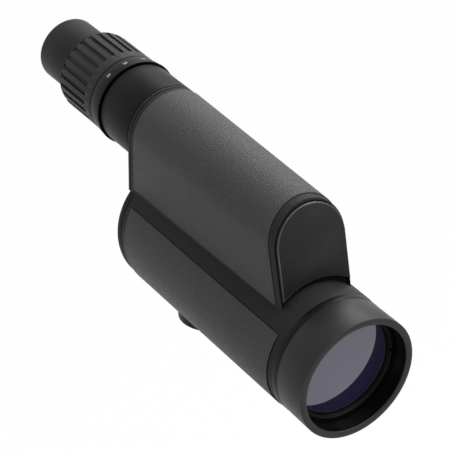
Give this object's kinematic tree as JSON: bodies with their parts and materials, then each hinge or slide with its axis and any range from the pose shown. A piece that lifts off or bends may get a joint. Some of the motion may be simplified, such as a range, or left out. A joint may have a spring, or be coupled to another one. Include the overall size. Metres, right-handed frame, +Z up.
{
  "type": "spotting scope",
  "caption": "Compact folded-path spotting scope: large objective in a lower tube, upper housing with a straight zoom eyepiece, rear focus knob and a tripod foot.",
  "frame": {"origin": "centre of the tripod thread in the foot's flat face", "axes": "+Z up, -Y the way the objective looks, +Y towards the eye, +X to the right of somebody looking through the eyepiece's opposite end, facing +Y"},
  "size_m": [0.078, 0.3152, 0.1383],
  "materials": {
    "casting": "cast, with fine satin black textured paint",
    "armour": "fine pebbled rubber, satin",
    "black_rubber": "smooth matt rubber seals and gaskets",
    "grip_rubber": "moulded ribbed rubber, matt",
    "anodised": "black anodised, satin",
    "eyecup_rubber": "soft smooth rubber, satin",
    "plate": "black anodised, bead blasted, bright bevel",
    "inner_black": "matt black inner parts",
    "coated_glass": "coated lens glass, pale lilac reflection",
    "mirror_glass": "front-silvered mirror",
    "brass": "turned brass",
    "steel": "plain steel fasteners and pins",
    "inner_metal": "plain turned aluminium"
  },
  "bodies": {
    "root": {"main_body": "casting", "lower_armor": "armour", "upper_armor": "armour", "front_plate": "plate", "plate_gasket": "black_rubber", "objective_ring": "anodised", "objective_collar": "anodised", "objective_cell": "inner_black", "objective_seal": "black_rubber", "front_lens": "coated_glass", "lens_spacer": "inner_metal", "rear_lens": "coated_glass", "lens_retainer": "anodised", "light_baffles": "inner_black", "upper_mirror": "mirror_glass", "upper_mirror_mount": "inner_black", "guide_pins": "steel", "rear_cover": "casting", "cover_gasket": "black_rubber", "cover_screws": "steel", "eyepiece_barrel": "anodised", "barrel_gasket": "black_rubber", "reticle_cell": "inner_black", "reticle": "coated_glass", "erector_tube": "inner_metal", "erector_retainer": "inner_metal", "zoom_seal": "black_rubber", "zoom_retainer": "anodised", "ocular_cell": "inner_black", "field_lens": "coated_glass", "ocular_spacer": "inner_black", "eye_lens": "coated_glass", "eye_lens_retainer": "inner_black", "eyecup": "eyecup_rubber", "foot": "anodised", "foot_screws": "steel", "thread_insert": "steel"},
    "zoom_ring": {"zoom_ring": "anodised", "zoom_grip": "grip_rubber", "drive_screw": "steel", "cam_sleeve": "brass"},
    "front_zoom": {"front_zoom_cell": "inner_black", "front_zoom_lens": "coated_glass", "front_zoom_pin": "brass"},
    "rear_zoom": {"rear_zoom_cell": "inner_black", "rear_zoom_lens": "coated_glass", "rear_zoom_pin": "brass"},
    "focus_knob": {"focus_knob": "anodised", "knob_grip": "grip_rubber", "focus_screw": "brass", "knob_clip": "steel"},
    "mirror_carriage": {"mirror_carriage": "inner_metal", "lower_mirror": "mirror_glass"}
  },
  "joints": [
    {"name": "zoom_turn", "type": "hinge", "parent": "root", "child": "zoom_ring", "pos_m": [0, 0.105, 0.1104], "axis": [0, 1, 0], "range_deg": [-75, 75]},
    {"name": "front_zoom_slide", "type": "slide", "parent": "root", "child": "front_zoom", "axis": [0, 1, 0], "range_m": [-0.00705, 0.00705]},
    {"name": "rear_zoom_slide", "type": "slide", "parent": "root", "child": "rear_zoom", "axis": [0, 1, 0], "range_m": [-0.00505, 0.00505]},
    {"name": "focus_turn", "type": "hinge", "parent": "root", "child": "focus_knob", "pos_m": [0, 0.0427, 0.0462], "axis": [0, 0.9884, -0.1521], "range_deg": [-600, 600]},
    {"name": "mirror_slide", "type": "slide", "parent": "root", "child": "mirror_carriage", "axis": [0, 0.9884, -0.1521], "range_m": [-0.00252, 0.00252]}
  ],
  "couplings": [
    {"joint": "front_zoom_slide", "follows": "zoom_turn", "m_per_rad": 0.0053476},
    {"joint": "rear_zoom_slide", "follows": "zoom_turn", "m_per_rad": -0.0038197},
    {"joint": "mirror_slide", "follows": "focus_turn", "m_per_rad": 0.00023873}
  ]
}
